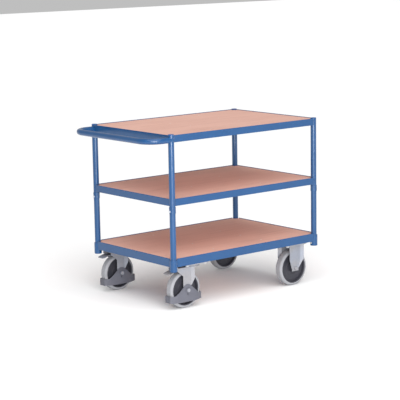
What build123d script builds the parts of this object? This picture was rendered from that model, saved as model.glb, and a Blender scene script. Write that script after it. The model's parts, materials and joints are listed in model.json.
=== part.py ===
"""Three-deck table trolley on four casters, with a push handle on the end that steers.

Millimetres, +Z up. +X runs along the trolley away from the push handle, and Y across it.
The origin is on the floor, at the centre of the whole trolley's bounding box.
"""

import math
import os

from build123d import *

# ---------------------------------------------------------------- driving dimensions
# Decks: outer size over the edge rails, and the rise from each rim to the next.
DECK_LENGTH = 1038.0
DECK_WIDTH = 700.0
LOW_TO_MIDDLE_RIM = 317.0
MIDDLE_TO_TOP_RIM = 333.0

# Edge rails: a rolled steel section with an upright web and a ledge that carries the board.
TOP_RAIL_HEIGHT = 38.0
MIDDLE_RAIL_HEIGHT = 38.0
LOW_RAIL_HEIGHT = 46.0
RAIL_WALL = 3.0
RAIL_EDGE_RADIUS = 1.2
LEDGE_WIDTH = 24.0

# Boards: laminated wood, laid on the ledges a little below the rim.
BOARD_THICKNESS = 12.0
BOARD_RECESS = 3.0
BOARD_SIDE_GAP = 0.6
BOARD_CORNER_GAP = 1.0

# Bearers: channels under each board, welded between the long rails.
BEARER_COUNT = 2
BEARER_WIDTH = 40.0
BEARER_HEIGHT = 16.0
BEARER_WALL = 2.0

# Round corner posts and what joins them.
POST_DIAMETER = 32.0
POST_WALL = 2.0
POST_INSET = 13.0
SOCKET_WALL = 4.5
SOCKET_BORE_GAP = 0.1
SOCKET_TOP_DROP = 9.0
SOCKET_TAIL = 25.0
SOCKET_EDGE_RADIUS = 1.5
SLEEVE_WALL = 2.0
SLEEVE_DROP = 7.0
SLEEVE_LENGTH = 32.0
SLEEVE_EDGE_RADIUS = 1.2
SLEEVE_GROOVE_DEPTH = 1.0
SLEEVE_GROOVE_WIDTH = 2.5
SLEEVE_GROOVE_DROP = 10.0
CAP_RISE = 3.0
CAP_PLUG_LENGTH = 16.0
CAP_EDGE_RADIUS = 1.5

# Locking screws that hold the lower posts in their sleeves and sockets.
LOCK_SCREW_DIAMETER = 6.0
LOCK_HEAD_DIAMETER = 11.0
LOCK_HEAD_HEIGHT = 4.0
SLEEVE_SCREW_RISE = 11.0
SOCKET_SCREW_RISE = 16.0

# Push handle: one bent tube.
HANDLE_DIAMETER = 32.0
HANDLE_WALL = 2.0
HANDLE_REACH = 129.0
HANDLE_DROP = 25.0
HANDLE_BEND_RADIUS = 85.0

# Countersunk board screws.
BOARD_SCREW_DIAMETER = 4.5
BOARD_SCREW_HEAD = 9.0
BOARD_SCREW_HEAD_DEPTH = 2.4
BOARD_SCREW_COUNT = 4

# Casters: wheel, axle and the plates that bolt to the low deck.
WHEEL_DIAMETER = 200.0
CASTER_HEAD_HEIGHT = 38.0
TYRE_WIDTH = 46.0
TYRE_DEPTH = 14.0
TYRE_SHOULDER = 12.0
RIM_LIP_WIDTH = 43.0
RIM_LIP_DEPTH = 6.0
RIM_FLARE = 3.0
RIM_DISC_THICKNESS = 16.0
HUB_DIAMETER = 46.0
HUB_FLARE = 2.0
HUB_SIDE_GAP = 0.7
BEARING_DIAMETER = 30.0
AXLE_TUBE_DIAMETER = 20.0
AXLE_BOLT_DIAMETER = 12.0
AXLE_BOLT_GAP = 0.2
AXLE_HEAD_HEIGHT = 10.0
AXLE_HEAD_WIDTH = 19.0
RUNNING_GAP = 0.05
FORK_INNER_WIDTH = 67.0
FORK_WALL = 3.5
PLATE_LENGTH = 144.0
PLATE_WIDTH = 114.0
PLATE_THICKNESS = 4.0
PLATE_CORNER_RADIUS = 8.0
PLATE_BOLT_PITCH_X = 120.0
PLATE_BOLT_PITCH_Y = 80.0
PLATE_BOLT_DIAMETER = 10.0
PLATE_BOLT_GAP = 0.5
PLATE_HEAD_HEIGHT = 6.4
PLATE_HEAD_WIDTH = 16.0
PLATE_NUT_HEIGHT = 8.0

# Where the casters stand, from the deck's ends and sides.
CASTER_SIDE_INSET = 57.0
FIXED_END_INSET = 150.0
SWIVEL_END_INSET = 167.0
CASTER_BEARER_WIDTH = 152.0
CASTER_BEARER_WALL = 3.0

# Fixed fork: a flat leg with side wings that splay outwards.
FIXED_LEG_TOP_HALF = 37.0
FIXED_LEG_FOOT_HALF = 24.0
FIXED_LEG_TAPER_RISE = 52.0
LEG_FOOT_DROP = 16.0
WING_WIDTH = 21.0
WING_ANGLE = 45.0
FIXED_WING_FOOT_WIDTH = 1.0

# Swivel fork: crown, leaning legs, ball race and kingpin.
TRAIL = 58.0
CROWN_DROP = 10.0
CROWN_THICKNESS = 4.0
CROWN_REACH_BACK = 125.0
CROWN_FRONT_RADIUS = 44.0
SWIVEL_LEG_FOOT_HALF = 21.0
SWIVEL_LEG_BACK = 26.0
SWIVEL_LEG_FRONT = 24.0
SWIVEL_LEG_BACK_TOP_RISE = 77.0
SWIVEL_LEG_TAPER_RISE = 24.0
SWIVEL_WING_TAPER_RISE = 60.0
SWIVEL_WING_FOOT_WIDTH = 4.0
RACE_OUTER_DIAMETER = 84.0
RACE_INNER_DIAMETER = 52.0
RACE_CHAMFER = 4.0
RACE_GAP = 0.5
KINGPIN_DIAMETER = 14.0
KINGPIN_FLANGE_DIAMETER = 28.0
KINGPIN_FLANGE_HEIGHT = 4.0

# Foot guard: a plastic ring around each swivel wheel.
GUARD_HALF_LENGTH = 105.0
GUARD_WALL = 3.0
GUARD_END_HALF_WIDTH = 21.0
GUARD_FORK_GAP = 0.5
GUARD_HUB_HALF_LENGTH = 58.0
GUARD_BASE_DROP = 62.0
GUARD_END_HEIGHT = 37.0
GUARD_END_FLAT = 28.0
GUARD_APEX_RISE = 32.0
GUARD_HOLE_DIAMETER = 7.0
GUARD_HOLE_DROP = 22.0

# Brake pedal: a lever over the tyre, turning on a pin under the crown.
PEDAL_PIN_RISE = 9.5
PEDAL_PIN_DIAMETER = 6.0
PEDAL_WALL = 2.5
PEDAL_HALF_WIDTH = 28.0
PEDAL_BARREL_DIAMETER = 10.0
PEDAL_FLAT_LENGTH = 76.0
PEDAL_FOOT_LENGTH = 40.0
PEDAL_FOOT_RADIUS = 12.0
PEDAL_FOOT_ANGLE = 16.0
PAD_THICKNESS = 2.5
PAD_START = 9.0
PAD_END = 44.0
PAD_HALF_WIDTH = 17.0

# How far a cutting tool runs past the surface it cuts through.
CUT_MARGIN = 1.0

# ---------------------------------------------------------------- derived places
HALF_LENGTH = DECK_LENGTH / 2
HALF_WIDTH = DECK_WIDTH / 2
POST_RADIUS = POST_DIAMETER / 2
SOCKET_RADIUS = POST_RADIUS + SOCKET_WALL
SLEEVE_RADIUS = POST_RADIUS + SLEEVE_WALL
HANDLE_OUTER = HANDLE_REACH + HANDLE_DIAMETER / 2
FRONT_PROUD = max(SOCKET_RADIUS, SLEEVE_RADIUS + LOCK_HEAD_HEIGHT) - POST_INSET
DECK_MID_X = (HANDLE_OUTER - FRONT_PROUD) / 2
BACK_X = DECK_MID_X - HALF_LENGTH
FRONT_X = DECK_MID_X + HALF_LENGTH

POST_X = (BACK_X + POST_INSET, FRONT_X - POST_INSET)
POST_Y = (-HALF_WIDTH + POST_INSET, HALF_WIDTH - POST_INSET)
LEDGE_DROP = BOARD_RECESS + BOARD_THICKNESS
LOW_RAIL_BOTTOM_Z = WHEEL_DIAMETER + CASTER_HEAD_HEIGHT
LOW_RIM_Z = LOW_RAIL_BOTTOM_Z + LOW_RAIL_HEIGHT
MIDDLE_RIM_Z = LOW_RIM_Z + LOW_TO_MIDDLE_RIM
TOP_RIM_Z = MIDDLE_RIM_Z + MIDDLE_TO_TOP_RIM
DECKS = {
    "top": (TOP_RIM_Z, TOP_RAIL_HEIGHT, POST_RADIUS),
    "middle": (MIDDLE_RIM_Z, MIDDLE_RAIL_HEIGHT, POST_RADIUS),
    "low": (LOW_RIM_Z, LOW_RAIL_HEIGHT, SOCKET_RADIUS),
}

SOCKET_TOP_Z = LOW_RIM_Z - SOCKET_TOP_DROP
SOCKET_BOTTOM_Z = LOW_RAIL_BOTTOM_Z - SOCKET_TAIL
SLEEVE_TOP_Z = MIDDLE_RIM_Z - MIDDLE_RAIL_HEIGHT - SLEEVE_DROP
SLEEVE_BOTTOM_Z = SLEEVE_TOP_Z - SLEEVE_LENGTH
POST_JOINT_Z = (SLEEVE_TOP_Z + SLEEVE_BOTTOM_Z) / 2
POST_BORE_RADIUS = POST_RADIUS - POST_WALL

WHEEL_RADIUS = WHEEL_DIAMETER / 2
AXLE_Z = WHEEL_RADIUS
PLATE_TOP_Z = LOW_RAIL_BOTTOM_Z
PLATE_BOTTOM_Z = PLATE_TOP_Z - PLATE_THICKNESS
CASTER_Y = {"near": -HALF_WIDTH + CASTER_SIDE_INSET, "far": HALF_WIDTH - CASTER_SIDE_INSET}
FIXED_X = FRONT_X - FIXED_END_INSET
SWIVEL_X = BACK_X + SWIVEL_END_INSET
SWIVEL_AXLE_X = SWIVEL_X - TRAIL
FORK_HALF = FORK_INNER_WIDTH / 2
FORK_OUTER_HALF = FORK_HALF + FORK_WALL
CROWN_TOP_Z = PLATE_BOTTOM_Z - CROWN_DROP
CROWN_BOTTOM_Z = CROWN_TOP_Z - CROWN_THICKNESS
FIXED_LEG_TAPER_Z = AXLE_Z + FIXED_LEG_TAPER_RISE
SWIVEL_LEG_BACK_TOP_Z = AXLE_Z + SWIVEL_LEG_BACK_TOP_RISE
SWIVEL_LEG_TAPER_Z = AXLE_Z + SWIVEL_LEG_TAPER_RISE
SWIVEL_WING_TAPER_Z = AXLE_Z + SWIVEL_WING_TAPER_RISE
PEDAL_PIN_Z = WHEEL_DIAMETER + PEDAL_PIN_RISE
GUARD_BASE_Z = AXLE_Z - GUARD_BASE_DROP
GUARD_HUB_HALF_WIDTH = FORK_OUTER_HALF + GUARD_FORK_GAP + GUARD_WALL
LEG_FOOT_Z = AXLE_Z - LEG_FOOT_DROP


# ---------------------------------------------------------------- helpers
def block(x0, x1, y0, y1, z0, z1):
    """A box between two opposite corners."""
    return Pos((x0 + x1) / 2, (y0 + y1) / 2, (z0 + z1) / 2) * Box(x1 - x0, y1 - y0, z1 - z0)


def post(x, y, z0, z1, radius):
    """An upright cylinder from z0 to z1."""
    return Pos(x, y, (z0 + z1) / 2) * Cylinder(radius, z1 - z0)


def tube(x, y, z0, z1, outer, inner):
    """An upright tube from z0 to z1."""
    return post(x, y, z0, z1, outer) - post(x, y, z0, z1, inner)


def cross_rod(x, y0, y1, z, radius):
    """A round rod along Y from y0 to y1."""
    return Pos(x, (y0 + y1) / 2, z) * Rot(90, 0, 0) * Cylinder(radius, abs(y1 - y0))


def hex_prism(across_flats, height):
    """A hexagonal prism about Z, centred on the origin."""
    corner_radius = across_flats / math.sqrt(3)
    return extrude(RegularPolygon(corner_radius, 6), height / 2, both=True)


def side_plate(points, y0, y1):
    """A flat plate standing in the XZ plane, between y0 and y1."""
    outline = Face(Wire.make_polygon([Vector(x, y0, z) for x, z in points], close=True))
    return Solid.extrude(outline, Vector(0, y1 - y0, 0))


def plan_plate(points, z0, z1):
    """A flat plate lying in the XY plane, between z0 and z1."""
    outline = Face(Wire.make_polygon([Vector(x, y, z0) for x, y in points], close=True))
    return Solid.extrude(outline, Vector(0, 0, z1 - z0))


def corners():
    """The four post centres."""
    return [(x, y) for x in POST_X for y in POST_Y]


def solids_of(shape):
    """The separate solids of a shape, or of a list of shapes."""
    if isinstance(shape, (list, tuple, ShapeList)):
        return [solid for item in shape for solid in solids_of(item)]
    return list(shape.solids())


def save(name, shape):
    """Write one node, as one solid or as a group of separate solids."""
    solids = solids_of(shape)
    body = solids[0] if len(solids) == 1 else Compound(children=solids)
    body.label = name
    export_step(body, f"parts/{name}.step")


# ---------------------------------------------------------------- decks
def coped(shape, rim_z, height, radius):
    """Cut a piece of a deck back to the round posts or sockets at its corners."""
    for x, y in corners():
        shape = shape - post(x, y, rim_z - height - CUT_MARGIN, rim_z + CUT_MARGIN, radius)
    return shape


def rail(along_x, side, rim_z, height, radius):
    """One edge rail: its web's outer face is on the deck's outline, side -1 or 1."""
    half = HALF_WIDTH if along_x else HALF_LENGTH
    reach = (HALF_LENGTH if along_x else HALF_WIDTH) - POST_INSET
    ledge_reach = reach if along_x else HALF_WIDTH - LEDGE_WIDTH
    ledge_z = rim_z - LEDGE_DROP
    web = block(-reach, reach, half - RAIL_WALL, half, rim_z - height, rim_z)
    rim_edges = web.edges().filter_by(Axis.X).group_by(Axis.Z)[-1]
    web = fillet(rim_edges, RAIL_EDGE_RADIUS)
    ledge = block(-ledge_reach, ledge_reach, half - LEDGE_WIDTH, half - RAIL_WALL,
                  ledge_z - RAIL_WALL, ledge_z)
    turn = (0 if side > 0 else 180) if along_x else (-90 if side > 0 else 90)
    placed = Pos(DECK_MID_X, 0, 0) * Rot(0, 0, turn) * (web + ledge)
    return coped(placed, rim_z, height, radius)


def board(rim_z, radius):
    """A deck board, notched round the posts."""
    top = rim_z - BOARD_RECESS
    inset = RAIL_WALL + BOARD_SIDE_GAP
    slab = block(BACK_X + inset, FRONT_X - inset, -HALF_WIDTH + inset, HALF_WIDTH - inset,
                 top - BOARD_THICKNESS, top)
    for x, y in corners():
        slab = slab - post(x, y, rim_z - LEDGE_DROP - CUT_MARGIN, rim_z,
                           radius + BOARD_CORNER_GAP)
    for x, y in board_screw_places():
        slab = slab - board_screw(x, y, top)
    return slab


def bearer_places():
    """Bearer centres along the deck."""
    pitch = DECK_LENGTH / (BEARER_COUNT + 1)
    return [BACK_X + pitch * (i + 1) for i in range(BEARER_COUNT)]


def bearer(x, rim_z):
    """A channel, open below, coped round the long rails' ledges."""
    top = rim_z - LEDGE_DROP
    half = BEARER_WIDTH / 2
    reach = HALF_WIDTH - RAIL_WALL
    outer = block(x - half, x + half, -reach, reach, top - BEARER_HEIGHT, top)
    inner = block(x - half + BEARER_WALL, x + half - BEARER_WALL, -reach, reach,
                  top - BEARER_HEIGHT, top - BEARER_WALL)
    shape = outer - inner
    for side in (-1, 1):
        y0, y1 = sorted((side * (HALF_WIDTH - LEDGE_WIDTH), side * HALF_WIDTH))
        shape = shape - block(x - half, x + half, y0, y1, top - RAIL_WALL, top)
    return shape


def board_screw_places():
    """Board screws go down the middle of each bearer."""
    pitch = DECK_WIDTH / BOARD_SCREW_COUNT
    rows = [-HALF_WIDTH + pitch * (i + 0.5) for i in range(BOARD_SCREW_COUNT)]
    return [(x, y) for x in bearer_places() for y in rows]


def board_screw(x, y, top):
    """A countersunk screw, flush with the board's top and ending under the bearer's wall."""
    length = BOARD_THICKNESS + 2 * BEARER_WALL
    shank = post(x, y, top - length, top - BOARD_SCREW_HEAD_DEPTH, BOARD_SCREW_DIAMETER / 2)
    head = Pos(x, y, top - BOARD_SCREW_HEAD_DEPTH / 2) * Cone(
        BOARD_SCREW_DIAMETER / 2, BOARD_SCREW_HEAD / 2, BOARD_SCREW_HEAD_DEPTH)
    return shank + head


def make_decks():
    """Rails, boards, bearers and board screws of the three decks."""
    bearers = []
    screws = []
    for name, (rim_z, height, radius) in DECKS.items():
        for side, word in ((-1, "near"), (1, "far")):
            save(f"{name}_rail_{word}", rail(True, side, rim_z, height, radius))
        for side, word in ((-1, "handle_end"), (1, "front_end")):
            save(f"{name}_rail_{word}", rail(False, side, rim_z, height, radius))
        save(f"{name}_board", board(rim_z, radius))
        top = rim_z - BOARD_RECESS
        deck_screws = [board_screw(x, y, top) for x, y in board_screw_places()]
        screws += deck_screws
        for x in bearer_places():
            drilled = bearer(x, rim_z)
            for screw in deck_screws:
                drilled = drilled - screw
            bearers.append(drilled)
    save("board_bearers", bearers)
    save("board_screws", screws)


# ---------------------------------------------------------------- posts and handle
def handle():
    """The push handle, coped onto the two posts of the handle end."""
    z = TOP_RIM_Z - HANDLE_DROP
    near_y, far_y = POST_Y
    end_x = BACK_X - HANDLE_REACH
    route = FilletPolyline(
        (POST_X[0], near_y, z), (end_x, near_y, z), (end_x, far_y, z), (POST_X[0], far_y, z),
        radius=HANDLE_BEND_RADIUS)
    start = Plane(origin=(POST_X[0], near_y, z), z_dir=(-1, 0, 0))
    ring = Circle(HANDLE_DIAMETER / 2) - Circle(HANDLE_DIAMETER / 2 - HANDLE_WALL)
    bent = sweep(start * ring, path=route)
    for y in POST_Y:
        inward_y = y - math.copysign(HANDLE_DIAMETER, y)
        side_y = sorted((y, inward_y))
        bent = bent - post(POST_X[0], y, z - HANDLE_DIAMETER, z + HANDLE_DIAMETER, POST_RADIUS)
        bent = bent - block(BACK_X, POST_X[0] + CUT_MARGIN, side_y[0], side_y[1], z - HANDLE_DIAMETER,
                            z + HANDLE_DIAMETER)
    return bent


def sleeve(x, y, z0, z1, radius, edge_radius):
    """A tube round a post, with rounded outer lips."""
    shape = tube(x, y, z0, z1, radius, POST_RADIUS + SOCKET_BORE_GAP)
    lips = shape.edges().filter_by(GeomType.CIRCLE).filter_by(
        lambda edge: edge.radius > (POST_RADIUS + radius) / 2)
    return fillet(lips, edge_radius)


def joint_sleeve(x, y):
    """The sleeve where an upper and a lower post meet, with a groove round it."""
    shape = sleeve(x, y, SLEEVE_BOTTOM_Z, SLEEVE_TOP_Z, SLEEVE_RADIUS, SLEEVE_EDGE_RADIUS)
    groove_top = SLEEVE_TOP_Z - SLEEVE_GROOVE_DROP
    return shape - tube(x, y, groove_top - SLEEVE_GROOVE_WIDTH, groove_top,
                        SLEEVE_RADIUS + CUT_MARGIN, SLEEVE_RADIUS - SLEEVE_GROOVE_DEPTH)


def lock_screw(x, y, z, wall_radius, out):
    """A screw through a sleeve's wall, with its tip against the post."""
    tip = x + out * POST_RADIUS
    face = x + out * wall_radius
    cap = face + out * LOCK_HEAD_HEIGHT
    across = Rot(0, 90, 0)
    shank = Pos((tip + cap) / 2, y, z) * across * Cylinder(LOCK_SCREW_DIAMETER / 2, abs(cap - tip))
    head = Pos((face + cap) / 2, y, z) * across * hex_prism(LOCK_HEAD_DIAMETER, LOCK_HEAD_HEIGHT)
    return shank + head


def lock_screws():
    """Two screws at each post: outwards in the joint sleeve, inwards in the socket's tail."""
    screws = []
    for x, y in corners():
        out = -1 if x < DECK_MID_X else 1
        sleeve_z = SLEEVE_BOTTOM_Z + SLEEVE_SCREW_RISE
        socket_z = SOCKET_BOTTOM_Z + SOCKET_SCREW_RISE
        screws.append(lock_screw(x, y, sleeve_z, SLEEVE_RADIUS, out))
        screws.append(lock_screw(x, y, socket_z, SOCKET_RADIUS, -out))
    return screws


def make_posts():
    """Posts, sockets, sleeves, caps, locking screws and the handle."""
    screws = lock_screws()
    words = [f"{end}_{side}" for end in ("handle", "front") for side in ("near", "far")]
    sockets = []
    sleeves = []
    caps = []
    for word, (x, y) in zip(words, corners()):
        upper = tube(x, y, POST_JOINT_Z, TOP_RIM_Z, POST_RADIUS, POST_BORE_RADIUS)
        lower = tube(x, y, SOCKET_BOTTOM_Z, POST_JOINT_Z, POST_RADIUS, POST_BORE_RADIUS)
        socket = sleeve(x, y, SOCKET_BOTTOM_Z, SOCKET_TOP_Z, SOCKET_RADIUS, SOCKET_EDGE_RADIUS)
        collar = joint_sleeve(x, y)
        for screw in screws:
            socket = socket - screw
            collar = collar - screw
        sockets.append(socket)
        sleeves.append(collar)
        plug = post(x, y, TOP_RIM_Z - CAP_PLUG_LENGTH, TOP_RIM_Z, POST_BORE_RADIUS)
        lid = post(x, y, TOP_RIM_Z, TOP_RIM_Z + CAP_RISE, POST_RADIUS)
        lid = fillet(lid.edges().group_by(Axis.Z)[-1], CAP_EDGE_RADIUS)
        caps.append(plug + lid)
        save(f"upper_post_{word}", upper)
        save(f"lower_post_{word}", lower)
    save("corner_sockets", sockets)
    save("joint_sleeves", sleeves)
    save("post_caps", caps)
    save("locking_screws", screws)
    save("push_handle", handle())


# ---------------------------------------------------------------- caster seats
def plate_bolt_places(x, y):
    """The four bolts of one caster plate."""
    half_x = PLATE_BOLT_PITCH_X / 2
    half_y = PLATE_BOLT_PITCH_Y / 2
    return [(x + i * half_x, y + j * half_y) for i in (-1, 1) for j in (-1, 1)]


def caster_places():
    """The plate centres of the four casters."""
    return [(x, y) for x in (SWIVEL_X, FIXED_X) for y in CASTER_Y.values()]


def drill_plate_holes(shape, x, y, z0, z1):
    """Clearance holes for one caster plate's bolts."""
    for bolt_x, bolt_y in plate_bolt_places(x, y):
        shape = shape - post(bolt_x, bolt_y, z0, z1, PLATE_BOLT_DIAMETER / 2 + PLATE_BOLT_GAP)
    return shape


def caster_bearer(x):
    """A pressed channel, open above, that carries one pair of casters."""
    half = CASTER_BEARER_WIDTH / 2
    reach = HALF_WIDTH - RAIL_WALL
    top = LOW_RIM_Z - LEDGE_DROP - RAIL_WALL
    outer = block(x - half, x + half, -reach, reach, LOW_RAIL_BOTTOM_Z, top)
    inner = block(x - half + CASTER_BEARER_WALL, x + half - CASTER_BEARER_WALL, -reach, reach,
                  LOW_RAIL_BOTTOM_Z + CASTER_BEARER_WALL, top)
    shape = outer - inner
    for y in CASTER_Y.values():
        shape = drill_plate_holes(shape, x, y, LOW_RAIL_BOTTOM_Z - CUT_MARGIN, top)
        shape = shape - post(x, y, LOW_RAIL_BOTTOM_Z - CUT_MARGIN, top, KINGPIN_DIAMETER)
    return shape


def plate_bolts():
    """Hexagon bolts from below, with a nut on the channel's floor."""
    floor_z = LOW_RAIL_BOTTOM_Z + CASTER_BEARER_WALL
    nut_top = floor_z + PLATE_NUT_HEIGHT
    pieces = []
    for x, y in caster_places():
        for bolt_x, bolt_y in plate_bolt_places(x, y):
            shank = post(bolt_x, bolt_y, PLATE_BOTTOM_Z, nut_top, PLATE_BOLT_DIAMETER / 2)
            head = Pos(bolt_x, bolt_y, PLATE_BOTTOM_Z - PLATE_HEAD_HEIGHT / 2) * hex_prism(
                PLATE_HEAD_WIDTH, PLATE_HEAD_HEIGHT)
            nut = Pos(bolt_x, bolt_y, floor_z + PLATE_NUT_HEIGHT / 2) * hex_prism(
                PLATE_HEAD_WIDTH, PLATE_NUT_HEIGHT)
            pieces.append(shank + head)
            pieces.append(nut - post(bolt_x, bolt_y, floor_z, nut_top, PLATE_BOLT_DIAMETER / 2))
    return pieces


def top_plate(x, y):
    """A caster's mounting plate with its four holes."""
    plate = Pos(x, y, PLATE_BOTTOM_Z + PLATE_THICKNESS / 2) * Box(
        PLATE_LENGTH, PLATE_WIDTH, PLATE_THICKNESS)
    plate = fillet(plate.edges().filter_by(Axis.Z), PLATE_CORNER_RADIUS)
    return drill_plate_holes(plate, x, y, PLATE_BOTTOM_Z - CUT_MARGIN, PLATE_TOP_Z + CUT_MARGIN)


# ---------------------------------------------------------------- wheels
def turned(profile, x, y):
    """A wheel piece turned about its axle from points of (radius, offset along the axle)."""
    outline = Face(Wire.make_polygon([Vector(r, s, 0) for r, s in profile], close=True))
    solid = Solid.revolve(outline, 360, Axis.Y)
    return Pos(x, y, AXLE_Z) * solid


def tyre(x, y):
    """The tyre: a ring with strongly rounded shoulders."""
    half = TYRE_WIDTH / 2
    seat = WHEEL_RADIUS - TYRE_DEPTH
    solid = turned([(seat, -half), (WHEEL_RADIUS, -half), (WHEEL_RADIUS, half), (seat, half)], x, y)
    shoulders = solid.edges().filter_by(GeomType.CIRCLE).filter_by(
        lambda edge: edge.radius > (WHEEL_RADIUS + seat) / 2)
    return fillet(shoulders, TYRE_SHOULDER)


def rim(x, y):
    """The wheel's body: a lip under the tyre, a thinner disc and a hub."""
    seat = WHEEL_RADIUS - TYRE_DEPTH
    lip_inner = seat - RIM_LIP_DEPTH
    lip = RIM_LIP_WIDTH / 2
    disc = RIM_DISC_THICKNESS / 2
    hub = HUB_DIAMETER / 2
    hub_half = FORK_HALF - HUB_SIDE_GAP
    bore = BEARING_DIAMETER / 2
    half_profile = [(bore, hub_half), (hub, hub_half), (hub + HUB_FLARE, disc),
                    (lip_inner - RIM_FLARE, disc), (lip_inner, lip), (seat, lip)]
    mirrored = [(r, -s) for r, s in reversed(half_profile)]
    return turned(half_profile + mirrored, x, y)


def bearing(x, y):
    """The bearing sleeve between the hub and the axle tube."""
    half = FORK_HALF - HUB_SIDE_GAP
    bore = AXLE_TUBE_DIAMETER / 2 + RUNNING_GAP
    outer = BEARING_DIAMETER / 2
    return turned([(bore, -half), (outer, -half), (outer, half), (bore, half)], x, y)


def axle(x, y, clamp_half):
    """Axle tube between the legs, with the bolt, its head and its nut outside them."""
    bolt_radius = AXLE_BOLT_DIAMETER / 2
    sleeve = cross_rod(x, y - FORK_HALF, y + FORK_HALF, AXLE_Z, AXLE_TUBE_DIAMETER / 2)
    sleeve = sleeve - cross_rod(x, y - FORK_HALF, y + FORK_HALF, AXLE_Z, bolt_radius + AXLE_BOLT_GAP)
    reach = clamp_half + AXLE_HEAD_HEIGHT
    bolt = cross_rod(x, y - clamp_half, y + reach, AXLE_Z, bolt_radius)
    upright_hex = Rot(90, 0, 0) * hex_prism(AXLE_HEAD_WIDTH, AXLE_HEAD_HEIGHT)
    middle = clamp_half + AXLE_HEAD_HEIGHT / 2
    bolt = bolt + Pos(x, y - middle, AXLE_Z) * upright_hex
    nut = Pos(x, y + middle, AXLE_Z) * upright_hex
    nut = nut - cross_rod(x, y + clamp_half, y + reach, AXLE_Z, bolt_radius)
    return [sleeve, bolt, nut]


def axle_hole(x, y):
    """The clearance hole for an axle bolt, through both legs and a guard."""
    reach = PLATE_WIDTH / 2
    return cross_rod(x, y - reach, y + reach, AXLE_Z, AXLE_BOLT_DIAMETER / 2 + AXLE_BOLT_GAP)


# ---------------------------------------------------------------- forks
def wing_section(half, width, z):
    """A level section through a wing that splays out from a leg's edge at x = half."""
    angle = math.radians(WING_ANGLE)
    run = width * math.cos(angle)
    out = width * math.sin(angle)
    points = [
        (half, -FORK_HALF), (half, -FORK_OUTER_HALF), (half + run, -FORK_OUTER_HALF - out),
        (half + run + FORK_WALL * math.sin(angle),
         -FORK_OUTER_HALF - out + FORK_WALL * math.cos(angle)),
        (half + FORK_WALL * math.tan(angle / 2), -FORK_HALF)]
    return Wire.make_polygon([Vector(x, y, z) for x, y in points], close=True)


def wing(top_z, taper_z, foot_z, half, foot_half, foot_width):
    """A wing of full width down to taper_z, drawn in towards its foot below."""
    high = wing_section(half, WING_WIDTH, top_z)
    middle = wing_section(half, WING_WIDTH, taper_z)
    low = wing_section(foot_half, foot_width, foot_z)
    return Solid.make_loft([high, middle], ruled=True) + Solid.make_loft([middle, low], ruled=True)


def fixed_leg():
    """The near leg of a fixed fork, about an axle at x = 0 and a wheel plane at y = 0."""
    top = PLATE_BOTTOM_Z
    half = FIXED_LEG_TOP_HALF
    foot = FIXED_LEG_FOOT_HALF
    leg = side_plate([(-half, top), (half, top), (half, FIXED_LEG_TAPER_Z), (foot, AXLE_Z),
                      (foot, LEG_FOOT_Z), (-foot, LEG_FOOT_Z), (-foot, AXLE_Z),
                      (-half, FIXED_LEG_TAPER_Z)], -FORK_OUTER_HALF, -FORK_HALF)
    front_wing = wing(top, FIXED_LEG_TAPER_Z, AXLE_Z, half, foot, FIXED_WING_FOOT_WIDTH)
    return leg + front_wing + mirror(front_wing, about=Plane.YZ)


def both_legs(leg):
    """A leg and its mirror on the other side of the wheel."""
    return [leg, mirror(leg, about=Plane.XZ)]


def fixed_fork(y):
    """Mounting plate with two legs."""
    shape = top_plate(FIXED_X, y)
    for leg in both_legs(fixed_leg()):
        shape = shape + Pos(FIXED_X, y, 0) * leg
    return shape - axle_hole(FIXED_X, y)


def swivel_leg():
    """The near leg of a swivel fork, behind its kingpin, with a wing on its front edge."""
    axle_x = -TRAIL
    foot = SWIVEL_LEG_FOOT_HALF
    back = axle_x - SWIVEL_LEG_BACK
    front = axle_x + SWIVEL_LEG_FRONT
    leg = side_plate([
        (-CROWN_REACH_BACK, CROWN_TOP_Z), (front, CROWN_TOP_Z), (front, SWIVEL_LEG_TAPER_Z),
        (axle_x + foot, AXLE_Z), (axle_x + foot, LEG_FOOT_Z), (axle_x - foot, LEG_FOOT_Z),
        (axle_x - foot, AXLE_Z), (back, SWIVEL_LEG_TAPER_Z), (back, SWIVEL_LEG_BACK_TOP_Z),
        (-CROWN_REACH_BACK, PEDAL_PIN_Z)], -FORK_OUTER_HALF, -FORK_HALF)
    return leg + wing(CROWN_TOP_Z, SWIVEL_WING_TAPER_Z, SWIVEL_LEG_TAPER_Z, front, front,
                      SWIVEL_WING_FOOT_WIDTH)


def swivel_fork(y):
    """A crown and two legs, drilled for the kingpin, the pedal's pin and the axle."""
    shape = block(-CROWN_REACH_BACK, 0, -FORK_OUTER_HALF, FORK_OUTER_HALF,
                  CROWN_BOTTOM_Z, CROWN_TOP_Z)
    shape = shape + post(0, 0, CROWN_BOTTOM_Z, CROWN_TOP_Z, CROWN_FRONT_RADIUS)
    for leg in both_legs(swivel_leg()):
        shape = shape + leg
    shape = shape - post(0, 0, CROWN_BOTTOM_Z - CUT_MARGIN, CROWN_TOP_Z + CUT_MARGIN,
                         KINGPIN_DIAMETER / 2 + RUNNING_GAP)
    shape = Pos(SWIVEL_X, y, 0) * shape
    return shape - axle_hole(SWIVEL_AXLE_X, y) - pedal_pin(y)


def pedal_pin(y):
    """The pin across both legs that the pedal turns on."""
    return cross_rod(SWIVEL_AXLE_X, y - FORK_OUTER_HALF, y + FORK_OUTER_HALF, PEDAL_PIN_Z,
                     PEDAL_PIN_DIAMETER / 2)


def ball_race(y):
    """The ring of the swivel head, on the crown and just clear of the mounting plate."""
    ring = tube(SWIVEL_X, y, CROWN_TOP_Z, PLATE_BOTTOM_Z - RACE_GAP, RACE_OUTER_DIAMETER / 2,
                RACE_INNER_DIAMETER / 2)
    lip = ring.edges().group_by(Axis.Z)[-1].sort_by(SortBy.RADIUS)[-1]
    return chamfer(lip, RACE_CHAMFER)


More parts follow.
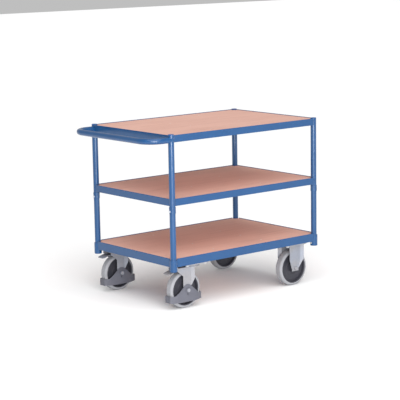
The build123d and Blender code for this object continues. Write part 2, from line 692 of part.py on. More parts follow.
def kingpin(y):
    """The pin that hangs the fork from its plate, with a flange under the crown."""
    flange_top = CROWN_BOTTOM_Z - RACE_GAP
    stem = post(SWIVEL_X, y, flange_top, PLATE_BOTTOM_Z, KINGPIN_DIAMETER / 2)
    flange = post(SWIVEL_X, y, flange_top - KINGPIN_FLANGE_HEIGHT, flange_top,
                  KINGPIN_FLANGE_DIAMETER / 2)
    return stem + flange


# ---------------------------------------------------------------- foot guard and brake
def guard_plan(inset):
    """The guard's outline in plan, as points of half a ring mirrored across the wheel plane."""
    end_x = GUARD_HALF_LENGTH - inset
    end_y = GUARD_END_HALF_WIDTH - inset
    hub_x = GUARD_HUB_HALF_LENGTH
    hub_y = GUARD_HUB_HALF_WIDTH - inset
    near = [(-end_x, -end_y), (-hub_x, -hub_y), (hub_x, -hub_y), (end_x, -end_y)]
    return near + [(x, -y) for x, y in reversed(near)]


def guard_side():
    """The guard seen from the side: a low bar at each end, rising to a round cheek at the hub."""
    end_top = GUARD_BASE_Z + GUARD_END_HEIGHT
    start_x = GUARD_HALF_LENGTH - GUARD_END_FLAT
    start_angle = math.atan2(end_top - AXLE_Z, start_x)
    reach = math.hypot(end_top - AXLE_Z, start_x)
    touch_angle = start_angle + math.acos(GUARD_APEX_RISE / reach)
    touch_x = GUARD_APEX_RISE * math.cos(touch_angle)
    touch_z = AXLE_Z + GUARD_APEX_RISE * math.sin(touch_angle)
    half = [(GUARD_HALF_LENGTH, GUARD_BASE_Z), (GUARD_HALF_LENGTH, end_top), (start_x, end_top),
            (touch_x, touch_z)]
    outline = half + [(-x, z) for x, z in reversed(half)]
    width = GUARD_HUB_HALF_WIDTH
    return side_plate(outline, -width, width) + cross_rod(0, -width, width, AXLE_Z, GUARD_APEX_RISE)


def foot_guard(y):
    """A ring round the wheel, high at the hub and low at its ends."""
    top = AXLE_Z + GUARD_APEX_RISE
    ring = plan_plate(guard_plan(0), GUARD_BASE_Z, top)
    ring = ring - plan_plate(guard_plan(GUARD_WALL), GUARD_BASE_Z, top)
    shape = Pos(SWIVEL_AXLE_X, y, 0) * (ring & guard_side())
    reach = GUARD_HUB_HALF_WIDTH
    hole_z = AXLE_Z - GUARD_HOLE_DROP
    shape = shape - cross_rod(SWIVEL_AXLE_X, y - reach, y + reach, hole_z, GUARD_HOLE_DIAMETER / 2)
    return shape - axle_hole(SWIVEL_AXLE_X, y)


def pedal(y):
    """The lever: a barrel on the pin, a flat over the tyre and a foot plate bent down."""
    under_pin = PEDAL_BARREL_DIAMETER / 2
    bottom = PEDAL_PIN_Z - under_pin
    barrel = cross_rod(0, -PEDAL_HALF_WIDTH, PEDAL_HALF_WIDTH, PEDAL_PIN_Z, under_pin)
    flat = block(-PEDAL_FLAT_LENGTH, 0, -PEDAL_HALF_WIDTH, PEDAL_HALF_WIDTH, bottom,
                 bottom + PEDAL_WALL)
    foot = block(-PEDAL_FOOT_LENGTH, 0, -PEDAL_HALF_WIDTH, PEDAL_HALF_WIDTH, -PEDAL_WALL, 0)
    foot = fillet(foot.edges().filter_by(Axis.Z).group_by(Axis.X)[0], PEDAL_FOOT_RADIUS)
    foot = Pos(-PEDAL_FLAT_LENGTH, 0, bottom + PEDAL_WALL) * Rot(0, -PEDAL_FOOT_ANGLE, 0) * foot
    shape = barrel + flat + foot
    shape = shape - cross_rod(0, -PEDAL_HALF_WIDTH, PEDAL_HALF_WIDTH, PEDAL_PIN_Z,
                              PEDAL_PIN_DIAMETER / 2 + RUNNING_GAP)
    return Pos(SWIVEL_AXLE_X, y, 0) * shape


def brake_pad(y):
    """The pad under the lever that comes down on the tyre."""
    top = PEDAL_PIN_Z - PEDAL_BARREL_DIAMETER / 2
    return block(SWIVEL_AXLE_X - PAD_END, SWIVEL_AXLE_X - PAD_START, y - PAD_HALF_WIDTH,
                 y + PAD_HALF_WIDTH, top - PAD_THICKNESS, top)


def make_casters():
    """Bearers, bolts and the four casters."""
    save("caster_bearers", [caster_bearer(x) for x in (SWIVEL_X, FIXED_X)])
    save("caster_bolts", plate_bolts())
    save("kingpins", [kingpin(y) for y in CASTER_Y.values()])
    save("swivel_plates", [top_plate(SWIVEL_X, y) for y in CASTER_Y.values()])
    fixed_axles = []
    for word, y in CASTER_Y.items():
        for end, x in (("fixed", FIXED_X), ("swivel", SWIVEL_AXLE_X)):
            save(f"{end}_{word}_tyre", tyre(x, y))
            save(f"{end}_{word}_rim", rim(x, y))
            save(f"{end}_{word}_bearing", bearing(x, y))
        save(f"fixed_{word}_fork", fixed_fork(y))
        fixed_axles += axle(FIXED_X, y, FORK_OUTER_HALF)
        save(f"swivel_{word}_fork", [swivel_fork(y), ball_race(y), pedal_pin(y)])
        save(f"swivel_{word}_axle", axle(SWIVEL_AXLE_X, y, GUARD_HUB_HALF_WIDTH))
        save(f"swivel_{word}_guard", foot_guard(y))
        save(f"swivel_{word}_pedal", pedal(y))
        save(f"swivel_{word}_brake_pad", brake_pad(y))
    save("fixed_axles", fixed_axles)


os.makedirs("parts", exist_ok=True)
make_decks()
make_posts()
make_casters()
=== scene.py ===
"""Looks of a three-deck table trolley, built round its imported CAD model. Metres, +Z up."""

import json
import math

import bpy
from mathutils import Matrix, Vector


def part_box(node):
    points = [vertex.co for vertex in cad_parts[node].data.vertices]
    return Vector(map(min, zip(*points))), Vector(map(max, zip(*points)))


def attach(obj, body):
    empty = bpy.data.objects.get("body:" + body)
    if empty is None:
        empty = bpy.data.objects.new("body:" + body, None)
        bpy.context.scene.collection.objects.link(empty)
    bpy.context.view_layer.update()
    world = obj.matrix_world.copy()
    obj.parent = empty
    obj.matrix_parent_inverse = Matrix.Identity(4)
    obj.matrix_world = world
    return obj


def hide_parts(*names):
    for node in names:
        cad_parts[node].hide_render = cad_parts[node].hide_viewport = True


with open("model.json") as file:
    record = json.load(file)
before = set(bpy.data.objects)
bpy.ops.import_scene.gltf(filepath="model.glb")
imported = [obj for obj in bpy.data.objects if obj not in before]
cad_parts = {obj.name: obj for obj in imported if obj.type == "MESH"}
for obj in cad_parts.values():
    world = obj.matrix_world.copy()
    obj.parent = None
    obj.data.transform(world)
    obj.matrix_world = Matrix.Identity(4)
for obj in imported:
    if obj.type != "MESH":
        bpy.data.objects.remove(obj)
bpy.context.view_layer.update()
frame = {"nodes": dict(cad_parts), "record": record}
MM = 0.001

# ---------------------------------------------------------------- places, from the frame
ENDS = ("handle", "front")
SIDES = ("near", "far")
DECKS = ("top", "middle", "low")
CASTERS = [(kind, side) for kind in ("fixed", "swivel") for side in SIDES]


def middle(node):
    """The centre of a CAD node's box."""
    low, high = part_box(node)
    return (low + high) / 2


DECK_MID_X = middle("top_board").x
AXLE = {pair: middle(f"{pair[0]}_{pair[1]}_tyre") for pair in CASTERS}


# ---------------------------------------------------------------- shader helpers
class Value:
    """A shader socket that can be used in Python arithmetic."""

    def __init__(self, finish, socket):
        self.finish = finish
        self.socket = socket

    def maths(self, operation, *others, first=None):
        """A Math node on this value and others."""
        operands = [self if first is None else first, *others]
        return self.finish.add("ShaderNodeMath", {"operation": operation}, operands)

    def __add__(self, other):
        return self.maths("ADD", other)

    def __radd__(self, other):
        return self.maths("ADD", other)

    def __sub__(self, other):
        return self.maths("SUBTRACT", other)

    def __rsub__(self, other):
        return self.maths("SUBTRACT", self, first=other)

    def __mul__(self, other):
        return self.maths("MULTIPLY", other)

    def __rmul__(self, other):
        return self.maths("MULTIPLY", other)

    def step(self, low, high):
        """A smooth ramp from 0 at low to 1 at high."""
        settings = {"interpolation_type": "SMOOTHSTEP"}
        return self.finish.add("ShaderNodeMapRange", settings, {
            "Value": self, "From Min": low, "From Max": high, "To Min": 0.0, "To Max": 1.0})


class Finish:
    """A material whose nodes are added by name, with their settings and inputs."""

    def __init__(self, name):
        self.material = bpy.data.materials.new(name)
        self.material.use_nodes = True
        self.tree = self.material.node_tree
        self.shader = next(n for n in self.tree.nodes if n.type == "BSDF_PRINCIPLED")

    def add(self, kind, settings=None, inputs=None, output=0):
        """Adds one node and returns one of its outputs as a Value."""
        node = self.tree.nodes.new(kind)
        for key, value in (settings or {}).items():
            setattr(node, key, value)
        pairs = inputs.items() if isinstance(inputs, dict) else enumerate(inputs or [])
        for key, value in pairs:
            self.feed(node.inputs[key], value)
        return Value(self, node.outputs[output])

    def feed(self, socket, value):
        """Sets a socket, or links it to a Value."""
        if isinstance(value, Value):
            self.tree.links.new(value.socket, socket)
        else:
            socket.default_value = value

    def place(self, scale=(1.0, 1.0, 1.0), turn=(0.0, 0.0, 0.0)):
        """Object coordinates in metres, scaled and turned."""
        coordinates = self.add("ShaderNodeTexCoord", output="Object")
        return self.add("ShaderNodeMapping", None, {
            "Vector": coordinates, "Scale": scale, "Rotation": turn})

    def noise(self, scale, detail=3.0, roughness=0.5, stretch=(1.0, 1.0, 1.0), distortion=0.0):
        """Fractal noise from 0 to 1."""
        return self.add("ShaderNodeTexNoise", None, {
            "Vector": self.place(stretch), "Scale": scale, "Detail": detail,
            "Roughness": roughness, "Distortion": distortion})

    def mix(self, share, one, other):
        """A colour between two colours."""
        node = self.tree.nodes.new("ShaderNodeMix")
        node.data_type = "RGBA"
        self.feed(node.inputs[0], share)
        for socket, colour in ((node.inputs[6], one), (node.inputs[7], other)):
            self.feed(socket, colour if isinstance(colour, Value) else (*colour, 1.0))
        return Value(self, node.outputs[2])

    def bump(self, height, distance, strength=1.0, under=None):
        """A bump from a height Value, in metres at full height."""
        inputs = {"Height": height, "Distance": distance, "Strength": strength}
        if under is not None:
            inputs["Normal"] = under
        return self.add("ShaderNodeBump", None, inputs)

    def set(self, **values):
        """Feeds the shader's own sockets; underscores stand for spaces."""
        for key, value in values.items():
            self.feed(self.shader.inputs[key.replace("_", " ")], value)
        return self.material


def srgb(red, green, blue):
    """A linear colour from 0 to 255 display values."""
    def linear(channel):
        share = channel / 255
        return share / 12.92 if share <= 0.04045 else ((share + 0.055) / 1.055) ** 2.4
    return tuple(linear(channel) for channel in (red, green, blue))


# ---------------------------------------------------------------- finishes
def powder_coat(name, colour, deep):
    """Satin powder coat: fine orange peel, faint cloudiness and dulled handling marks."""
    f = Finish(name)
    cloud = f.noise(6.0, 4.0)
    peel = f.noise(520.0, 2.0, 0.6)
    speck = f.noise(1400.0, 1.0)
    scuffs = f.noise(38.0, 6.0, 0.75, (1.0, 1.0, 0.35)).step(0.62, 0.78)
    paint = f.mix(cloud.step(0.3, 0.7), colour, deep)
    return f.set(
        Base_Color=f.mix(scuffs * 0.22, paint, tuple(c * 1.25 + 0.02 for c in colour)),
        Roughness=0.36 + cloud * 0.06 + scuffs * 0.16 + speck * 0.04,
        Normal=f.bump(peel + speck * 0.4, 0.00006),
        Coat_Weight=0.85, Coat_Roughness=0.16, Specular_IOR_Level=0.15)


def wood_board(name, light, dark, line):
    """Beech-look laminate: long fine grain along the deck, short pores and a satin skin."""
    f = Finish(name)
    drift = f.noise(3.2, 4.0, 0.55, (0.35, 1.0, 1.0))
    grain = f.noise(46.0, 7.0, 0.66, (0.06, 1.0, 1.0), 0.35)
    fibre = f.noise(240.0, 4.0, 0.7, (0.035, 1.0, 1.0))
    fleck = f.noise(620.0, 2.0, 0.6, (0.11, 1.0, 1.0)).step(0.64, 0.76)
    wear = f.noise(9.0, 6.0, 0.7).step(0.56, 0.8)
    base = f.mix(drift.step(0.3, 0.72), light, dark)
    veined = f.mix(grain.step(0.5, 0.72) * 0.42, base, line)
    flecked = f.mix(fleck * 0.3, veined, tuple(c * 0.55 for c in line))
    return f.set(
        Base_Color=f.mix(fibre.step(0.4, 0.8) * 0.16, flecked, tuple(c * 0.86 for c in dark)),
        Roughness=0.54 + wear * 0.12 + fibre * 0.1,
        Normal=f.bump(fibre * 0.5 + fleck * -0.6 + grain * 0.3, 0.00012),
        Specular_IOR_Level=0.2)


def zinc(name, colour, roughness, metallic):
    """Bright zinc plate on pressed steel: mottled crystals, rolling lines and dull spots."""
    f = Finish(name)
    mottle = f.noise(55.0, 5.0, 0.62)
    brushed = f.noise(260.0, 3.0, 0.6, (1.0, 1.0, 0.08))
    dull = f.noise(16.0, 5.0, 0.6).step(0.5, 0.75)
    tint = f.noise(9.0, 2.0)
    cool = tuple(c * k for c, k in zip(colour, (0.93, 0.98, 1.04)))
    warm = tuple(c * k for c, k in zip(colour, (1.03, 1.0, 0.95)))
    shade = f.mix(tint.step(0.35, 0.65), cool, warm)
    return f.set(
        Base_Color=f.mix(mottle.step(0.35, 0.8) * 0.3, shade, tuple(c * 0.74 for c in colour)),
        Metallic=metallic,
        Roughness=roughness + mottle * 0.12 + dull * 0.12,
        Normal=f.bump(mottle * 0.6 + brushed * 0.5, 0.00005))


def plastic(name, colour, roughness, grain=900.0, depth=0.00007):
    """Moulded plastic: spark-eroded grain, slight flow shading and rubbed patches."""
    f = Finish(name)
    skin = f.noise(grain, 2.0, 0.55)
    flow = f.noise(12.0, 3.0)
    rub = f.noise(30.0, 6.0, 0.7).step(0.58, 0.8)
    shade = f.mix(flow.step(0.3, 0.7), colour, tuple(c * 0.9 for c in colour))
    return f.set(
        Base_Color=f.mix(rub * 0.18, shade, tuple(c * 1.2 + 0.02 for c in colour)),
        Roughness=roughness + skin * 0.1 + rub * 0.08,
        Normal=f.bump(skin, depth), Specular_IOR_Level=0.4)


def tyre_rubber(name, colour, dirt):
    """Solid rubber: dusty, with scrape streaks along the axle and a fine moulded skin."""
    f = Finish(name)
    skin = f.noise(700.0, 3.0, 0.6)
    dust = f.noise(24.0, 6.0, 0.65)
    scrape = f.noise(90.0, 4.0, 0.7, (1.0, 0.2, 1.0)).step(0.6, 0.78)
    grime = dust.step(0.42, 0.78) * 0.4 + scrape * 0.2
    return f.set(
        Base_Color=f.mix(grime, colour, dirt),
        Roughness=0.62 + dust * 0.2,
        Normal=f.bump(skin + scrape * 0.8, 0.00012), Specular_IOR_Level=0.35)


BLUE = powder_coat("blue_powder_coat", (0.0065, 0.064, 0.188), (0.0055, 0.058, 0.174))
BOARD = wood_board("beech_laminate", srgb(223, 177, 161), srgb(213, 166, 151), srgb(184, 134, 117))
ZINC = zinc("zinc_pressed_steel", srgb(149, 150, 157), 0.46, 0.3)
BRIGHT = zinc("zinc_fasteners", srgb(214, 216, 220), 0.26, 0.5)
STEEL = zinc("ground_steel", srgb(180, 180, 182), 0.22, 0.8)
TYRE = tyre_rubber("grey_tyre_rubber", srgb(148, 149, 154), srgb(118, 118, 122))
RIM = plastic("anthracite_rim_plastic", srgb(54, 54, 62), 0.42)
GUARD = plastic("grey_guard_plastic", srgb(94, 95, 105), 0.46)
CAP = plastic("blue_cap_plastic", srgb(30, 84, 146), 0.4)
PAD = plastic("black_pad_rubber", srgb(40, 40, 42), 0.7, 500.0)

SLOT_FINISH = {
    "frame_paint": BLUE, "board_wood": BOARD, "zinc_steel": ZINC, "fastener_steel": BRIGHT,
    "bearing_steel": STEEL, "tyre_rubber": TYRE, "rim_plastic": RIM, "guard_plastic": GUARD,
    "cap_plastic": CAP, "pad_rubber": PAD,
}
NODE_SLOT = {part["node"]: part["material_slot"] for part in frame["record"]["subparts"]}
NODE_BODY = {node: body for body, nodes in frame["record"]["behaviour"]["bodies"].items()
             for node in nodes}


def dress(piece, material):
    """Puts one material on every face of a piece."""
    piece.data.materials.clear()
    piece.data.materials.append(material)


for node, piece in frame["nodes"].items():
    dress(piece, SLOT_FINISH[NODE_SLOT[node]])


# ---------------------------------------------------------------- modelling helpers
SHARP_EDGE = math.radians(32.0)
FLAT_JOIN = math.radians(0.6)
SAME_POINT = 0.002 * MM
SQUARE_ON = 0.99
JUST_INSIDE = 0.99


def lone(piece):
    """Selects one piece and nothing else, and makes it active."""
    bpy.ops.object.select_all(action="DESELECT")
    piece.select_set(True)
    bpy.context.view_layer.objects.active = piece


def apply_modifier(piece, kind, **settings):
    """Adds a modifier and applies it."""
    lone(piece)
    modifier = piece.modifiers.new(kind.lower(), kind)
    for key, value in settings.items():
        setattr(modifier, key, value)
    bpy.ops.object.modifier_apply(modifier=modifier.name)


def enter(piece, mode="FACE"):
    """Edits one piece with nothing selected."""
    lone(piece)
    bpy.ops.object.mode_set(mode="EDIT")
    bpy.ops.mesh.select_mode(type=mode)
    bpy.ops.mesh.select_all(action="DESELECT")


def smoothed(piece, angle=30.0):
    """Smooth shading over shallow edges, with the large flat faces kept flat."""
    lone(piece)
    bpy.ops.object.shade_smooth_by_angle(angle=math.radians(angle))
    apply_modifier(piece, "WEIGHTED_NORMAL", keep_sharp=True)


def leave():
    """Ends editing, with every normal outward."""
    bpy.ops.mesh.select_all(action="SELECT")
    bpy.ops.mesh.normals_make_consistent(inside=False)
    bpy.ops.object.mode_set(mode="OBJECT")


def pick_faces(piece, wanted):
    """Selects the faces whose centre and normal pass a test."""
    bpy.ops.object.mode_set(mode="OBJECT")
    for face in piece.data.polygons:
        face.select = wanted(face.center, face.normal)
    bpy.ops.object.mode_set(mode="EDIT")


def pick_edges(piece, wanted):
    """Selects the edges whose two ends both pass a test."""
    bpy.ops.object.mode_set(mode="OBJECT")
    points = piece.data.vertices
    chosen = [edge for edge in piece.data.edges if all(wanted(points[i].co) for i in edge.vertices)]
    for edge in piece.data.edges:
        edge.select = False
    for edge in chosen:
        edge.select = True
    bpy.ops.object.mode_set(mode="EDIT")


def settled(piece, name):
    """Names a piece and moves its placement into its mesh."""
    piece.name = name
    lone(piece)
    bpy.ops.object.transform_apply(location=True, rotation=True, scale=True)
    return piece


def stands_for(piece, node):
    """Makes a piece the finished look of a CAD node."""
    dress(piece, SLOT_FINISH[NODE_SLOT[node]])
    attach(piece, NODE_BODY[node])
    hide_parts(node)


def added(piece, beside):
    """Adds a small piece to a CAD node's body, in that node's material."""
    dress(piece, SLOT_FINISH[NODE_SLOT[beside]])
    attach(piece, NODE_BODY[beside])


def softened(node, width, segments):
    """A CAD node's shape with its sharp edges rolled over, standing for that node."""
    source = frame["nodes"][node]
    piece = bpy.data.objects.new(f"{node}_shaped", source.data.copy())
    bpy.context.scene.collection.objects.link(piece)
    lone(piece)
    bpy.ops.object.mode_set(mode="EDIT")
    bpy.ops.mesh.select_all(action="SELECT")
    bpy.ops.mesh.remove_doubles(threshold=SAME_POINT)
    bpy.ops.mesh.dissolve_limited(angle_limit=FLAT_JOIN)
    bpy.ops.object.mode_set(mode="OBJECT")
    apply_modifier(piece, "BEVEL", width=width, segments=segments, limit_method="ANGLE",
                   angle_limit=SHARP_EDGE, use_clamp_overlap=True)
    smoothed(piece)
    stands_for(piece, node)


def disc_blank(name, centre, radius, half_width, sides):
    """A solid disc about an axle along Y."""
    bpy.ops.object.select_all(action="DESELECT")
    bpy.ops.mesh.primitive_cylinder_add(vertices=sides, radius=radius, depth=2 * half_width,
                                        location=centre, rotation=(math.pi / 2, 0.0, 0.0))
    return settled(bpy.context.object, name)


def step_faces(piece, side, steps):
    """Cuts steps into one end of a disc: each goes inward by a width and along Y by a depth."""
    enter(piece)
    pick_faces(piece, lambda spot, normal: normal.y * side > SQUARE_ON)
    for width, depth in steps:
        bpy.ops.mesh.inset(thickness=width * MM, depth=0.0)
        if depth:
            bpy.ops.transform.translate(value=(0.0, side * depth * MM, 0.0))
    bpy.ops.object.mode_set(mode="OBJECT")


def open_bore(piece, centre, radius):
    """Opens a hole along Y through the end faces nearer the axle than a radius."""
    def inside(spot, normal):
        return abs(normal.y) > SQUARE_ON and (spot - centre).xz.length < radius
    enter(piece)
    pick_faces(piece, inside)
    bpy.ops.mesh.delete(type="FACE")
    bpy.ops.mesh.select_mode(type="EDGE")
    bpy.ops.mesh.select_all(action="DESELECT")
    bpy.ops.mesh.select_non_manifold()
    bpy.ops.mesh.bridge_edge_loops()
    leave()


def round_rim(piece, centre, side, radius, width, segments):
    """Rounds the outermost edge loop on one side of a disc."""
    def outermost(point):
        return (point.y - centre.y) * side > 0 and (point - centre).xz.length > radius * JUST_INSIDE
    enter(piece, "EDGE")
    pick_edges(piece, outermost)
    bpy.ops.mesh.bevel(offset=width * MM, segments=segments, affect="EDGES")
    bpy.ops.object.mode_set(mode="OBJECT")


# ---------------------------------------------------------------- wheels
WHEEL_SIDES = 160
JUST_OUTSIDE = 1.01
TREAD_SHARE = 0.95
SHOULDER_SHARE = 0.84
GROOVE_HALF_WIDTH = 0.7 * MM
GROOVE_DEPTH = 0.4 * MM
RIM_LIP_HALF_WIDTH = 21.5 * MM
RIM_EDGE = 0.5 * MM
RIM_SHARP_EDGE = math.radians(35.0)
BEARING_OPENING = 15.2 * MM

# Each step of a wheel centre goes inward by a width and along the axle by a rise, in millimetres.
LIP_STEPS = [(1.2, 0.0), (3.6, 0.0), (1.2, -0.8), (3.0, -12.7), (7.0, 0.0)]
OUTER_RING_STEPS = [(0.8, 1.4), (3.4, 0.0), (0.8, -1.4), (22.0, 0.0)]
INNER_RING_STEPS = [(0.8, 1.2), (3.0, 0.0), (0.8, -1.2), (13.4, 0.0)]
RIM_DISC_HALF_WIDTH = 8.0
HUB_FLANK = 2.0
HUB_FACE_STEPS = [(1.0, 0.0), (0.8, -0.8), (5.8, 0.0), (0.4, 0.8)]


def shaped_tyre(node):
    """A tyre with round shoulders, a flat side bead and a fine parting groove on its tread."""
    low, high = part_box(node)
    centre = (low + high) / 2
    radius = (high.z - low.z) / 2
    half = (high.y - low.y) / 2
    bore = (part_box(node.replace("tyre", "rim"))[1].z - centre.z) / MM
    tyre = disc_blank(f"{node}_shaped", centre, radius, half, WHEEL_SIDES)
    depth = radius / MM - bore
    for side in (-1, 1):
        step_faces(tyre, side, [(depth, 0.0)])
    open_bore(tyre, centre, bore * MM * JUST_OUTSIDE)
    for side in (-1, 1):
        round_rim(tyre, centre, side, radius, depth * SHOULDER_SHARE, 10)
    enter(tyre)
    for offset in (-GROOVE_HALF_WIDTH, GROOVE_HALF_WIDTH):
        bpy.ops.mesh.select_all(action="SELECT")
        bpy.ops.mesh.bisect(plane_co=centre + Vector((0.0, offset, 0.0)), plane_no=(0, 1, 0))
    pick_faces(tyre, lambda spot, normal: abs(spot.y - centre.y) < GROOVE_HALF_WIDTH / 2
               and (spot - centre).xz.length > radius * TREAD_SHARE)
    bpy.ops.transform.shrink_fatten(value=-GROOVE_DEPTH)
    leave()
    smoothed(tyre)
    stands_for(tyre, node)


def shaped_rim(node):
    """A moulded wheel centre: a lip, a dished disc with two raised rings, and a stepped hub."""
    low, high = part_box(node)
    centre = (low + high) / 2
    radius = (high.z - low.z) / 2
    hub_half = (high.y - low.y) / 2
    rim = disc_blank(f"{node}_shaped", centre, radius, RIM_LIP_HALF_WIDTH, WHEEL_SIDES)
    hub_flank = [(HUB_FLANK, hub_half / MM - RIM_DISC_HALF_WIDTH)]
    steps = LIP_STEPS + OUTER_RING_STEPS + INNER_RING_STEPS + hub_flank + HUB_FACE_STEPS
    for side in (-1, 1):
        step_faces(rim, side, steps)
    open_bore(rim, centre, BEARING_OPENING)
    lone(rim)
    apply_modifier(rim, "BEVEL", width=RIM_EDGE, segments=2, limit_method="ANGLE",
                   angle_limit=RIM_SHARP_EDGE, use_clamp_overlap=True)
    smoothed(rim)
    stands_for(rim, node)


for kind, side in CASTERS:
    shaped_tyre(f"{kind}_{side}_tyre")
    shaped_rim(f"{kind}_{side}_rim")

# ---------------------------------------------------------------- frame, forks and fittings
# The rolled edge of each node: its width in millimetres and its number of segments.
BOARD_EDGE = (0.35, 2)
RAIL_EDGE = (0.5, 3)
FIXED_FORK_EDGE = (1.1, 3)
SWIVEL_EDGES = {"fork": (1.1, 3), "guard": (1.2, 4), "pedal": (0.8, 3), "axle": (1.0, 3),
                "brake_pad": (0.4, 3)}
FITTING_EDGES = {
    "fixed_axles": (1.0, 3), "caster_bolts": (0.7, 3), "locking_screws": (0.7, 3),
    "kingpins": (0.8, 3), "swivel_plates": (0.6, 3), "board_screws": (0.15, 2),
    "corner_sockets": (0.4, 2), "joint_sleeves": (0.3, 2), "post_caps": (0.4, 2),
    "board_bearers": (0.4, 2), "caster_bearers": (0.8, 2),
}

rolled_edges = {}
for deck in DECKS:
    for place in ("near", "far", "handle_end", "front_end"):
        rolled_edges[f"{deck}_rail_{place}"] = RAIL_EDGE
    rolled_edges[f"{deck}_board"] = BOARD_EDGE
for side in SIDES:
    rolled_edges[f"fixed_{side}_fork"] = FIXED_FORK_EDGE
    for part, edge in SWIVEL_EDGES.items():
        rolled_edges[f"swivel_{side}_{part}"] = edge
rolled_edges.update(FITTING_EDGES)
for node, (width, segments) in rolled_edges.items():
    softened(node, width * MM, segments)


def bead(name, place, radius, length, beside):
    """An upright weld bead."""
    bpy.ops.object.select_all(action="DESELECT")
    bpy.ops.mesh.primitive_cylinder_add(vertices=14, radius=radius, depth=length, location=place)
    line = settled(bpy.context.object, name)
    enter(line, "EDGE")
    pick_edges(line, lambda point: abs(abs(point.z - place[2]) - length / 2) < 0.01 * MM)
    bpy.ops.mesh.bevel(offset=radius * 0.8, segments=3, affect="EDGES")
    leave()
    smoothed(line)
    added(line, beside)


def ring_bead(name, place, radius, thickness, beside):
    """A weld bead round an upright tube."""
    bpy.ops.object.select_all(action="DESELECT")
    bpy.ops.mesh.primitive_torus_add(major_segments=64, minor_segments=12, major_radius=radius,
                                     minor_radius=thickness, location=place)
    ring = settled(bpy.context.object, name)
    smoothed(ring, 60.0)
    added(ring, beside)


BOSS_RADIUS = 17.5 * MM
BOSS_HALF_WIDTH = 1.0 * MM
BOSS_STAND_OFF = 0.4 * MM
BOSS_STEPS = [(0.6, 0.4), (1.4, 0.0), (0.8, -0.9)]


def guard_boss(side):
    """A low raised ring round the axle bolt on each cheek of a guard."""
    low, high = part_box(f"swivel_{side}_guard")
    axle = AXLE["swivel", side]
    for out in (-1, 1):
        face = high.y if out > 0 else low.y
        centre = Vector((axle.x, face + out * BOSS_STAND_OFF, axle.z))
        ring = disc_blank(f"guard_boss_{side}_{out}", centre, BOSS_RADIUS, BOSS_HALF_WIDTH, 64)
        step_faces(ring, out, BOSS_STEPS)
        smoothed(ring)
        added(ring, f"swivel_{side}_guard")


PEDAL_FLAT = 76.0 * MM
PEDAL_SLOPE = math.radians(16.0)
PEDAL_TOP_DROP = 7.5 * MM
GRIP_RIBS = 5
FIRST_RIB = 7.0
RIB_PITCH = 6.0
RIB_SIZE = (2.0 * MM, 38.0 * MM, 1.4 * MM)


def pedal_ribs(side):
    """Raised ribs across the sloping foot plate of a brake pedal."""
    pedal_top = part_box(f"swivel_{side}_pedal")[1].z - PEDAL_TOP_DROP
    axle = AXLE["swivel", side]
    for count in range(GRIP_RIBS):
        along = (FIRST_RIB + RIB_PITCH * count) * MM
        place = Vector((axle.x - PEDAL_FLAT - along * math.cos(PEDAL_SLOPE), axle.y,
                        pedal_top - along * math.sin(PEDAL_SLOPE)))
        bpy.ops.object.select_all(action="DESELECT")
        bpy.ops.mesh.primitive_cube_add(size=1.0, location=place, rotation=(0.0, -PEDAL_SLOPE, 0.0),
                                        scale=RIB_SIZE)
        rib = settled(bpy.context.object, f"pedal_rib_{side}_{count}")
        apply_modifier(rib, "BEVEL", width=0.45 * MM, segments=3, limit_method="ANGLE",
                       angle_limit=SHARP_EDGE)
        added(rib, f"swivel_{side}_pedal")


for side in SIDES:
    guard_boss(side)
    pedal_ribs(side)


SOCKET_RADIUS = 20.5 * MM
POST_RADIUS = 16.0 * MM
POST_INSET = 13.0 * MM
WELD_RADIUS = 1.5 * MM
WELD_STAND_OFF = 0.4 * MM
WELD_SINK = 0.5 * MM
WELD_END_GAP = 3 * MM


def rail_welds():
    """Beads where each rail meets a post or a socket, seen from outside the deck."""
    for deck in DECKS:
        seat = SOCKET_RADIUS if deck == "low" else POST_RADIUS
        reach = math.sqrt(seat ** 2 - POST_INSET ** 2) + WELD_STAND_OFF
        low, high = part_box(f"{deck}_rail_near")
        length = high.z - low.z - WELD_END_GAP
        level = (high.z + low.z) / 2
        for end in ENDS:
            for side in SIDES:
                post = middle(f"upper_post_{end}_{side}")
                in_x = 1 if end == "handle" else -1
                in_y = 1 if side == "near" else -1
                along = (post.x + in_x * reach, post.y - in_y * (POST_INSET - WELD_SINK), level)
                across = (post.x - in_x * (POST_INSET - WELD_SINK), post.y + in_y * reach, level)
                name = f"{deck}_weld_{end}_{side}"
                bead(f"{name}_long", along, WELD_RADIUS, length, f"{deck}_rail_{side}")
                bead(f"{name}_end", across, WELD_RADIUS, length, f"{deck}_rail_{end}_end")


SLEEVE_WELD_RADIUS = 16.6 * MM
SLEEVE_WELD_THICKNESS = 1.3 * MM


def sleeve_welds():
    """A bead on top of each joint sleeve."""
    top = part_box("joint_sleeves")[1].z
    for end in ENDS:
        for side in SIDES:
            post = middle(f"upper_post_{end}_{side}")
            ring_bead(f"sleeve_weld_{end}_{side}", (post.x, post.y, top), SLEEVE_WELD_RADIUS,
                      SLEEVE_WELD_THICKNESS, f"upper_post_{end}_{side}")


rail_welds()
sleeve_welds()

# ---------------------------------------------------------------- floor, light and camera
LIT_POINT = Vector((DECK_MID_X, 0.0, 0.5))


def stage_floor():
    """A plain pale floor."""
    bpy.ops.object.select_all(action="DESELECT")
    bpy.ops.mesh.primitive_plane_add(size=60.0, location=(0.0, 0.0, 0.0))
    floor = bpy.context.object
    floor.name = "studio_floor"
    finish = Finish("studio_floor_paint")
    dress(floor, finish.set(Base_Color=(0.97, 0.97, 0.97, 1.0), Roughness=0.9,
                            Specular_IOR_Level=0.1))


def toward(azimuth, elevation):
    """The unit direction to a place round the trolley, in degrees."""
    turn = math.radians(azimuth)
    rise = math.radians(elevation)
    return Vector((math.sin(turn) * math.cos(rise), -math.cos(turn) * math.cos(rise), math.sin(rise)))


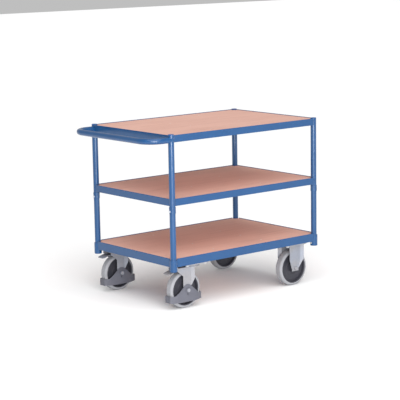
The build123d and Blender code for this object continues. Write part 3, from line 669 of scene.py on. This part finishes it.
def hang(name, data, azimuth, elevation, distance):
    """Hangs a lamp so that it points at the trolley's middle."""
    direction = toward(azimuth, elevation)
    lamp = bpy.data.objects.new(name, data)
    lamp.location = LIT_POINT + direction * distance
    lamp.rotation_euler = direction.to_track_quat("Z", "Y").to_euler()
    bpy.context.scene.collection.objects.link(lamp)


def softbox(name, azimuth, elevation, distance, size, power):
    """A rectangular soft light."""
    data = bpy.data.lights.new(name, "AREA")
    data.shape = "RECTANGLE"
    data.size, data.size_y = size
    data.energy = power
    hang(name, data, azimuth, elevation, distance)


def skylight(name, azimuth, elevation, strength, spread):
    """Broad even light that reaches the whole floor."""
    data = bpy.data.lights.new(name, "SUN")
    data.energy = strength
    data.angle = math.radians(spread)
    hang(name, data, azimuth, elevation, 6.0)


def daylight(strength):
    """An even pale surround."""
    world = bpy.data.worlds.new("studio_surround")
    world.use_nodes = True
    world.node_tree.nodes["Background"].inputs["Color"].default_value = (1.0, 1.0, 1.0, 1.0)
    world.node_tree.nodes["Background"].inputs["Strength"].default_value = strength
    bpy.context.scene.world = world


CAMERA_AZIMUTH = -39.37
CAMERA_ELEVATION = 9.71
CAMERA_ROLL = -0.99
CAMERA_DISTANCE = 8.398
CAMERA_TARGET = Vector((DECK_MID_X - 0.0433, 0.0, 0.4977))
CAMERA_LENS = 136.0


def camera():
    """The catalogue view from the handle end's near corner."""
    back = toward(CAMERA_AZIMUTH, CAMERA_ELEVATION)
    data = bpy.data.cameras.new("catalogue_camera")
    data.sensor_width = 36.0
    data.lens = CAMERA_LENS
    data.dof.use_dof = False
    shot = bpy.data.objects.new("catalogue_camera", data)
    bpy.context.scene.collection.objects.link(shot)
    upright = back.to_track_quat("Z", "Y").to_matrix().to_4x4()
    roll = Matrix.Rotation(math.radians(CAMERA_ROLL), 4, "Z")
    shot.matrix_world = Matrix.Translation(CAMERA_TARGET + back * CAMERA_DISTANCE) @ upright @ roll
    bpy.context.scene.camera = shot


stage_floor()
daylight(0.52)
skylight("skylight", -20.0, 58.0, 2.0, 70.0)
softbox("key_softbox", -29.0, 6.5, 4.6, (2.6, 1.7), 165.0)
camera()
bpy.context.scene.view_settings.view_transform = "Standard"
